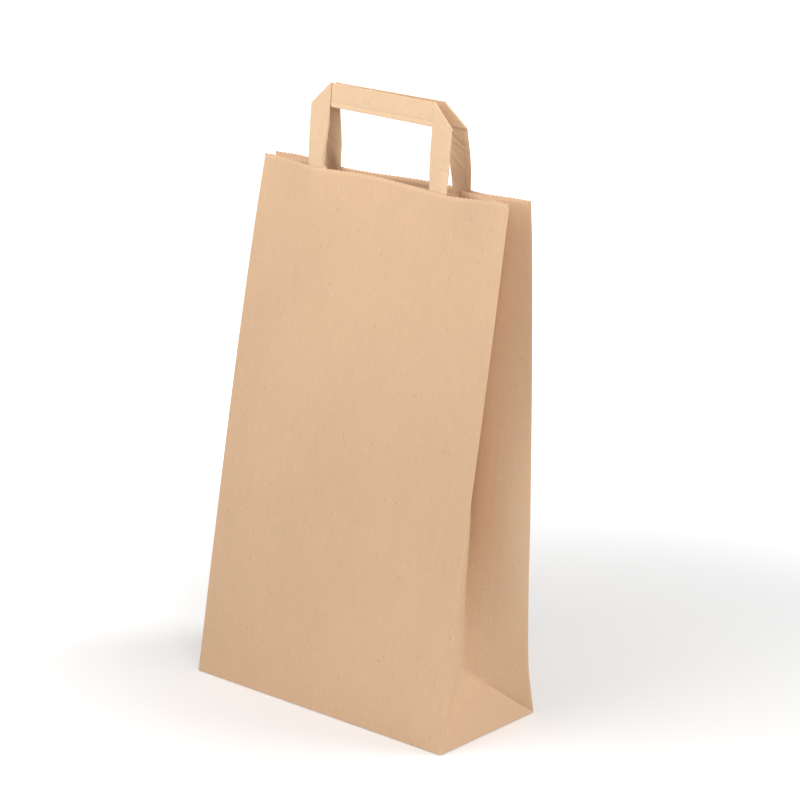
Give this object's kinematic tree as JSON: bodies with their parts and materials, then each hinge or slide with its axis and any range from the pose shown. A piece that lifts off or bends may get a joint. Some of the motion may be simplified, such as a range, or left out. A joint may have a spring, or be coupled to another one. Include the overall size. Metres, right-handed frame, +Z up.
{
  "type": "paper carrier bag",
  "caption": "Block-bottomed brown paper carrier bag standing open a little, with folded-in side gussets, a toothed mouth and flat folded paper handles.",
  "frame": {"origin": "middle of the underside, on the surface that the bag stands on", "axes": "+Z up from the base to the handles; X along the bag's width; +Y from the front panel to the back panel, so the panel that the picture shows faces -Y"},
  "size_m": [0.2214, 0.1106, 0.4385],
  "materials": {
    "body_paper": "matte unbleached brown kraft paper with short darker and paler fibres",
    "handle_paper": "matte brown kraft paper folded into flat tape, a little paler than the body",
    "patch_paper": "matte brown kraft paper, glued flat"
  },
  "bodies": {
    "root": {"bag_body": "body_paper", "handle_front": "handle_paper", "handle_back": "handle_paper", "patch_front": "patch_paper", "patch_back": "patch_paper"}
  },
  "joints": []
}
